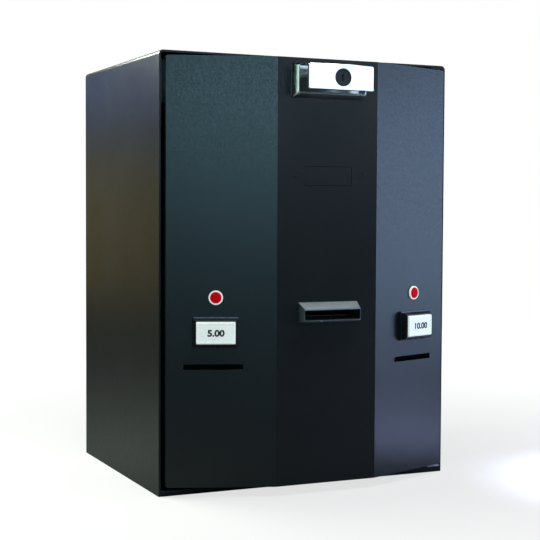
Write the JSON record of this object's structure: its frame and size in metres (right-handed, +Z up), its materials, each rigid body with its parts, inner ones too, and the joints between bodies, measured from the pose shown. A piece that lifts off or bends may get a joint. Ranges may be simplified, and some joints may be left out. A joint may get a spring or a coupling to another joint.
{
  "type": "bill validator card vending cabinet",
  "caption": "Black steel card vending cabinet with a bill validator in its three-facet door, lamps, price buttons, card slots and a pop-out T-handle lock.",
  "frame": {"origin": "the middle of the cabinet's base, on the surface it stands on", "axes": "the front faces -Y, +X is the viewer's right and +Z is up"},
  "size_m": [0.428, 0.4325, 0.578],
  "materials": {
    "black_paint": "fine-textured satin powder coat",
    "zinc_plate": "bright zinc plate",
    "chrome": "bright chrome plate",
    "satin_nickel": "satin nickel on a die-casting",
    "graphite": "moulded, graphite with a metallic sheen",
    "black_plastic": "moulded, satin",
    "grey_plastic": "moulded, matte",
    "white_plastic": "translucent white moulding",
    "red_lens": "red lamp lens",
    "steel": "plain steel",
    "aluminium": "folded sheet",
    "rubber": "matte",
    "circuit_board": "green solder mask",
    "brass": "machined",
    "nylon": "moulded gear"
  },
  "bodies": {
    "cabinet": {"cabinet_shell": "black_paint", "bottom_plate": "black_paint", "back_plate": "black_paint", "hinge_leaf_top": "black_paint", "hinge_leaf_bottom": "zinc_plate", "equipment_shelf": "zinc_plate", "power_supply": "aluminium", "control_board": "circuit_board", "mains_inlet": "black_plastic", "latch_strike_left": "zinc_plate", "latch_strike_right": "zinc_plate", "dispenser_frame_left": "zinc_plate", "dispenser_frame_right": "zinc_plate", "feed_motor_left": "steel", "feed_motor_right": "steel"},
    "door": {"door_panel": "black_paint", "blank_cover": "black_paint", "t_handle_housing": "satin_nickel", "latch_frame": "zinc_plate", "bill_bezel": "graphite", "lamp_ring_left": "white_plastic", "lamp_ring_right": "white_plastic", "lamp_lens_left": "red_lens", "lamp_lens_right": "red_lens", "button_bezel_left": "black_plastic", "button_bezel_right": "black_plastic", "switch_body_left": "grey_plastic", "switch_body_right": "grey_plastic", "card_chute_left": "zinc_plate", "card_chute_right": "zinc_plate", "validator_frame": "grey_plastic", "validator_motor": "steel", "timing_belt": "rubber", "stacker_frame": "grey_plastic", "stacker_motor": "steel"},
    "latch_spindle": {"latch_pinion": "brass"},
    "handle": {"handle_plate": "chrome", "handle_barrel": "steel"},
    "lock": {"lock_plug": "black_plastic"},
    "latch_left": {"latch_bar_left": "steel"},
    "latch_right": {"latch_bar_right": "steel"},
    "button_left": {"button_cap_left": "white_plastic"},
    "button_right": {"button_cap_right": "white_plastic"},
    "rear_drive": {"rear_drive_shaft": "rubber"},
    "front_drive": {"front_drive_shaft": "rubber"},
    "drive_pinion": {"motor_pinion": "brass"},
    "tray": {"path_tray": "grey_plastic"},
    "pusher": {"pusher_plate": "steel"},
    "pusher_pinion": {"stacker_pinion": "nylon"},
    "cassette": {"cash_cassette": "black_plastic"},
    "lid": {"cassette_lid": "black_plastic"},
    "pressure": {"pressure_plate": "aluminium"},
    "feed_left": {"feed_roller_left": "rubber", "feed_gear_left": "nylon"},
    "pinion_left": {"feed_pinion_left": "brass"},
    "weight_left": {"card_weight_left": "steel"},
    "feed_right": {"feed_roller_right": "rubber", "feed_gear_right": "nylon"},
    "pinion_right": {"feed_pinion_right": "brass"},
    "weight_right": {"card_weight_right": "steel"}
  },
  "joints": [
    {"name": "door_swing", "type": "hinge", "parent": "cabinet", "child": "door", "pos_m": [0.2, -0.17, 0.29], "axis": [0, 0, 1], "range_deg": [0, 105]},
    {"name": "handle_turn", "type": "hinge", "parent": "door", "child": "latch_spindle", "pos_m": [0, -0.14, 0.543], "axis": [0, -1, 0], "range_deg": [0, 180]},
    {"name": "handle_push", "type": "slide", "parent": "latch_spindle", "child": "handle", "axis": [0, -1, 0], "range_m": [-0.025, 0], "stiffness_N_per_m": 200, "springref_m": 0.02},
    {"name": "lock_turn", "type": "hinge", "parent": "handle", "child": "lock", "pos_m": [0, -0.25, 0.543], "axis": [0, -1, 0], "range_deg": [0, 90]},
    {"name": "latch_left_draw", "type": "slide", "parent": "door", "child": "latch_left", "axis": [-1, 0, 0], "range_m": [0, 0.0236]},
    {"name": "latch_right_draw", "type": "slide", "parent": "door", "child": "latch_right", "axis": [1, 0, 0], "range_m": [0, 0.0236]},
    {"name": "button_left_press", "type": "slide", "parent": "door", "child": "button_left", "axis": [0.3496, 0.9369, 0], "range_m": [0, 0.003], "stiffness_N_per_m": 500},
    {"name": "button_right_press", "type": "slide", "parent": "door", "child": "button_right", "axis": [-0.3496, 0.9369, 0], "range_m": [0, 0.003], "stiffness_N_per_m": 500},
    {"name": "rear_drive_spin", "type": "hinge", "parent": "door", "child": "rear_drive", "pos_m": [0, -0.106, 0.2462], "axis": [1, 0, 0], "continuous": true},
    {"name": "front_drive_spin", "type": "hinge", "parent": "door", "child": "front_drive", "pos_m": [0, -0.196, 0.2462], "axis": [1, 0, 0], "continuous": true},
    {"name": "drive_pinion_spin", "type": "hinge", "parent": "door", "child": "drive_pinion", "pos_m": [0.065, -0.0934, 0.263], "axis": [1, 0, 0], "continuous": true},
    {"name": "tray_drop", "type": "hinge", "parent": "door", "child": "tray", "pos_m": [0, -0.088, 0.214], "axis": [1, 0, 0], "range_deg": [0, 35]},
    {"name": "pusher_push", "type": "slide", "parent": "door", "child": "pusher", "axis": [0, 1, 0], "range_m": [0, 0.016]},
    {"name": "pusher_pinion_spin", "type": "hinge", "parent": "door", "child": "pusher_pinion", "pos_m": [0, -0.118, 0.349], "axis": [1, 0, 0], "range_deg": [0, 102]},
    {"name": "cassette_pull", "type": "slide", "parent": "door", "child": "cassette", "axis": [0, 1, 0], "range_m": [0, 0.11]},
    {"name": "lid_swing", "type": "hinge", "parent": "cassette", "child": "lid", "pos_m": [0.045, 0.001, 0.35], "axis": [0, 0, -1], "range_deg": [0, 110]},
    {"name": "pressure_slide", "type": "slide", "parent": "cassette", "child": "pressure", "axis": [0, 1, 0], "range_m": [0, 0.045], "stiffness_N_per_m": 60, "springref_m": -0.02},
    {"name": "feed_left_spin", "type": "hinge", "parent": "cabinet", "child": "feed_left", "pos_m": [-0.147, -0.1, 0.1585], "axis": [1, 0, 0], "continuous": true},
    {"name": "pinion_left_spin", "type": "hinge", "parent": "cabinet", "child": "pinion_left", "pos_m": [-0.147, -0.076, 0.1405], "axis": [1, 0, 0], "continuous": true},
    {"name": "weight_left_lift", "type": "slide", "parent": "cabinet", "child": "weight_left", "axis": [0, 0, 1], "range_m": [0, 0.16]},
    {"name": "feed_right_spin", "type": "hinge", "parent": "cabinet", "child": "feed_right", "pos_m": [0.147, -0.1, 0.1585], "axis": [1, 0, 0], "continuous": true},
    {"name": "pinion_right_spin", "type": "hinge", "parent": "cabinet", "child": "pinion_right", "pos_m": [0.147, -0.076, 0.1405], "axis": [1, 0, 0], "continuous": true},
    {"name": "weight_right_lift", "type": "slide", "parent": "cabinet", "child": "weight_right", "axis": [0, 0, 1], "range_m": [0, 0.16]}
  ],
  "couplings": [
    {"joint": "latch_left_draw", "follows": "handle_turn", "m_per_rad": 0.0075},
    {"joint": "latch_right_draw", "follows": "handle_turn", "m_per_rad": 0.0075},
    {"joint": "front_drive_spin", "follows": "rear_drive_spin", "ratio": 1},
    {"joint": "drive_pinion_spin", "follows": "rear_drive_spin", "ratio": -2.5},
    {"joint": "pusher_pinion_spin", "follows": "pusher_push", "rad_per_m": 111.11},
    {"joint": "pinion_left_spin", "follows": "feed_left_spin", "ratio": -1.8571},
    {"joint": "pinion_right_spin", "follows": "feed_right_spin", "ratio": -1.8571}
  ]
}
